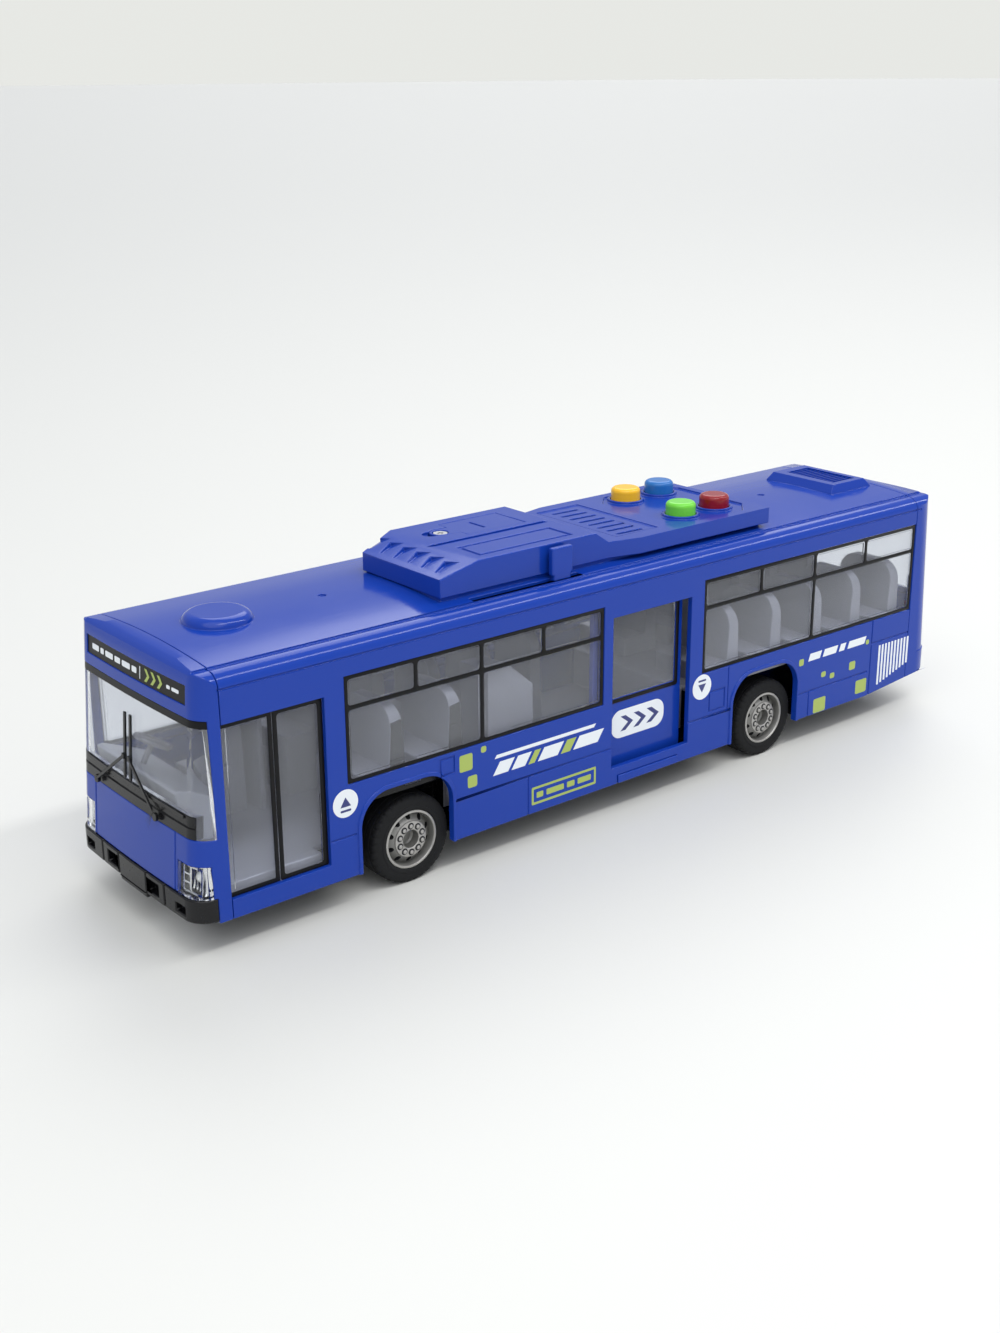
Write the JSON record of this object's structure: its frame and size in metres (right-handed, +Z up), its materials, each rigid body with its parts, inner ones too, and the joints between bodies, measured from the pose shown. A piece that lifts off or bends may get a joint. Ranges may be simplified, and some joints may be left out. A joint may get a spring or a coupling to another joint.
{
  "type": "toy bus",
  "caption": "Blue plastic toy city bus with rolling wheels, a friction motor, a middle door slid by a lever on the roof, and a roof pod with light and sound push buttons.",
  "frame": {"origin": "on the floor under the middle of the bus", "axes": "+X forward, +Y to the door side, +Z up"},
  "size_m": [0.285, 0.0648, 0.0831],
  "materials": {
    "body_blue": "glossy royal blue moulding",
    "trim_black": "black moulding",
    "clear": "clear moulding",
    "lamp_white": "milky lens",
    "lamp_red": "red lens",
    "cabin_grey": "light grey moulding",
    "tyre_black": "matte black",
    "hub_silver": "silver paint on plastic",
    "steel": "plain steel",
    "gear_ivory": "natural nylon",
    "yellow": "glossy",
    "light_blue": "glossy",
    "lime": "glossy",
    "red": "glossy",
    "pad_rubber": "soft",
    "board_green": "lacquered board",
    "speaker_grey": "plain",
    "cone_black": "paper cone",
    "contact_brass": "plain"
  },
  "bodies": {
    "bus": {"body_shell": "body_blue", "front_fascia": "body_blue", "rear_fascia": "body_blue", "step_bar": "body_blue", "roof_pod": "body_blue", "battery_door": "body_blue", "front_bumper": "trim_black", "wiper_cowl": "trim_black", "wipers": "trim_black", "destination_sign": "trim_black", "door_rails": "trim_black", "chassis_plate": "trim_black", "motor_case": "trim_black", "motor_cover": "trim_black", "electronics_tray": "trim_black", "steering_wheel": "trim_black", "windshield": "clear", "headlamp_left": "clear", "headlamp_right": "clear", "front_door_glazing": "clear", "left_front_glazing": "clear", "left_rear_glazing": "clear", "right_glazing": "clear", "rear_window": "clear", "headlamp_leds": "lamp_white", "tail_lamps": "lamp_red", "interior": "cabin_grey", "dashboard": "cabin_grey", "chassis_screws": "steel", "battery_screw": "steel", "button_cells": "steel", "pod_screws": "steel", "button_pad": "pad_rubber", "circuit_board": "board_green", "speaker": "speaker_grey", "speaker_cone": "cone_black", "cell_contacts": "contact_brass"},
    "front_wheels": {"front_axle": "steel", "front_tyres": "tyre_black", "front_hubs": "hub_silver"},
    "rear_wheels": {"rear_axle": "steel", "rear_tyres": "tyre_black", "rear_hubs": "hub_silver", "axle_gear": "gear_ivory"},
    "idler": {"idler_gear": "gear_ivory"},
    "flywheel": {"flywheel": "steel"},
    "door": {"door_leaf": "body_blue", "door_glass": "clear", "door_lever": "body_blue"},
    "yellow_button": {"button_yellow": "yellow"},
    "blue_button": {"button_blue": "light_blue"},
    "green_button": {"button_green": "lime"},
    "red_button": {"button_red": "red"}
  },
  "joints": [
    {"name": "front_axle_turn", "type": "hinge", "parent": "bus", "child": "front_wheels", "pos_m": [0.0761, 0, 0.0124], "axis": [0, 1, 0], "continuous": true},
    {"name": "rear_axle_turn", "type": "hinge", "parent": "bus", "child": "rear_wheels", "pos_m": [-0.0604, 0, 0.0124], "axis": [0, 1, 0], "continuous": true},
    {"name": "idler_turn", "type": "hinge", "parent": "bus", "child": "idler", "pos_m": [-0.0506, 0, 0.0144], "axis": [0, 1, 0], "continuous": true},
    {"name": "flywheel_turn", "type": "hinge", "parent": "bus", "child": "flywheel", "pos_m": [-0.03968, 0, 0.0169], "axis": [0, 1, 0], "continuous": true},
    {"name": "door_slide", "type": "slide", "parent": "bus", "child": "door", "axis": [1, 0, 0], "range_m": [-0.0032, 0.0275]},
    {"name": "yellow_press", "type": "slide", "parent": "bus", "child": "yellow_button", "axis": [0, 0, -1], "range_m": [0, 0.0016], "stiffness_N_per_m": 300, "springref_m": -0.001},
    {"name": "blue_press", "type": "slide", "parent": "bus", "child": "blue_button", "axis": [0, 0, -1], "range_m": [0, 0.0016], "stiffness_N_per_m": 300, "springref_m": -0.001},
    {"name": "green_press", "type": "slide", "parent": "bus", "child": "green_button", "axis": [0, 0, -1], "range_m": [0, 0.0016], "stiffness_N_per_m": 300, "springref_m": -0.001},
    {"name": "red_press", "type": "slide", "parent": "bus", "child": "red_button", "axis": [0, 0, -1], "range_m": [0, 0.0016], "stiffness_N_per_m": 300, "springref_m": -0.001}
  ],
  "couplings": [
    {"joint": "idler_turn", "follows": "rear_axle_turn", "ratio": -1.5},
    {"joint": "flywheel_turn", "follows": "rear_axle_turn", "ratio": 2.7}
  ]
}
